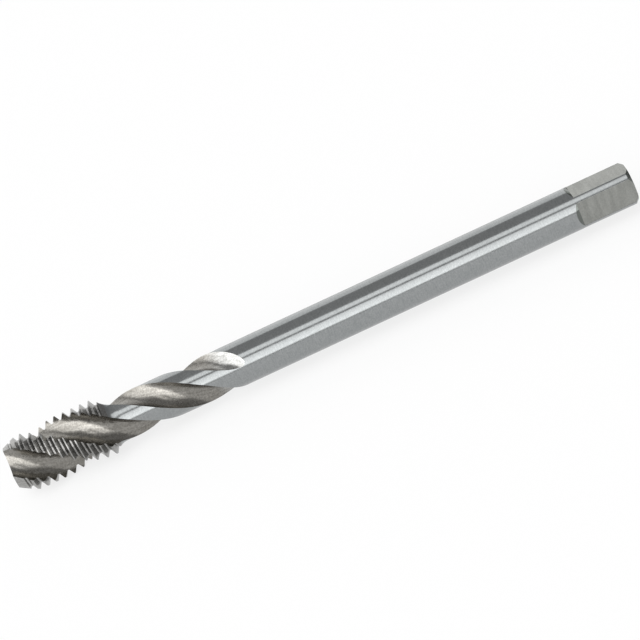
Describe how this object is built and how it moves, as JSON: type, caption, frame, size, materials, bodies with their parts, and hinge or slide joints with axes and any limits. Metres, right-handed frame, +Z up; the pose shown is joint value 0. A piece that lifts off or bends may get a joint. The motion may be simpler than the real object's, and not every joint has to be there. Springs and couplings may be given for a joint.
{
  "type": "thread tap",
  "caption": "Machine thread tap with right-hand spiral flutes, a chamfer lead, a reduced cylindrical shank and a square drive.",
  "frame": {"origin": "centre of the flat end face at the cutting tip, on the tap's axis", "axes": "+X along the axis from the cutting tip to the end of the square drive, +Z up, out of one flat of the square; -Y out of the next flat"},
  "size_m": [0.09, 0.008, 0.008],
  "materials": {
    "tool_steel": "bright ground high-speed steel"
  },
  "bodies": {
    "root": {"tap": "tool_steel"}
  },
  "joints": []
}
